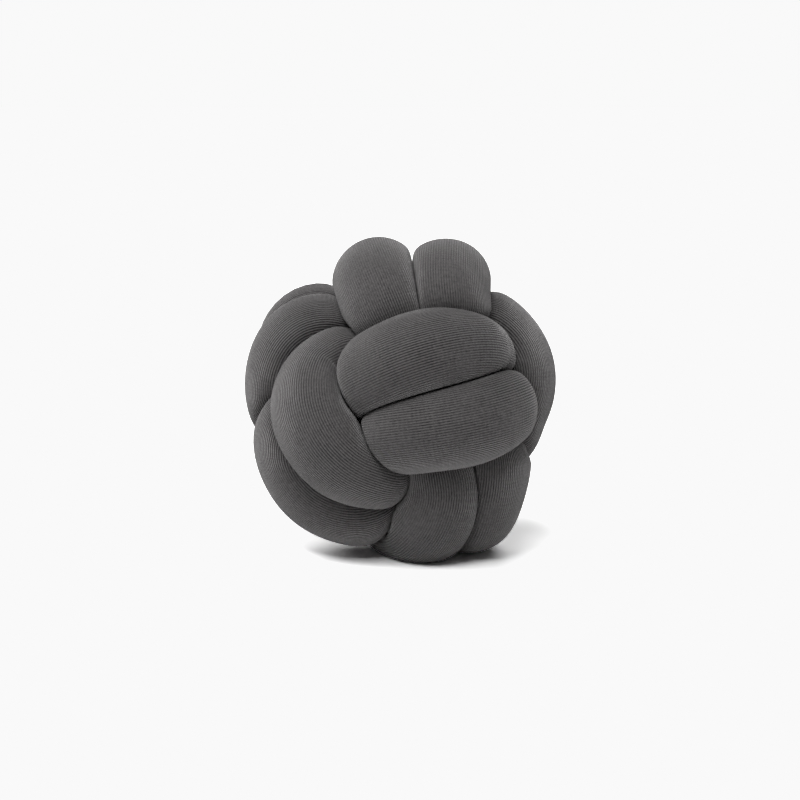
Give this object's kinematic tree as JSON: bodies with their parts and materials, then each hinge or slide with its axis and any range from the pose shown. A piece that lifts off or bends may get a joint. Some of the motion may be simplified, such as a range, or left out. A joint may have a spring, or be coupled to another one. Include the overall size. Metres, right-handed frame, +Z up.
{
  "type": "knot cushion",
  "caption": "Round cushion tied as a ball from a long stuffed tube of fine dark grey knitted cloth, each pair of turns passing over one pair and under another, with both ends tucked in.",
  "frame": {"origin": "middle of the cushion's box in plan, on the surface that it stands on", "axes": "+Z up, front of the cushion faces -Y, +X to the right as seen from the front"},
  "size_m": [0.2988, 0.2904, 0.3007],
  "materials": {
    "knit": "matt fine-gauge jersey knit in charcoal grey, with ribs that run along the tube"
  },
  "bodies": {
    "root": {"stuffed_tube": "knit"}
  },
  "joints": []
}
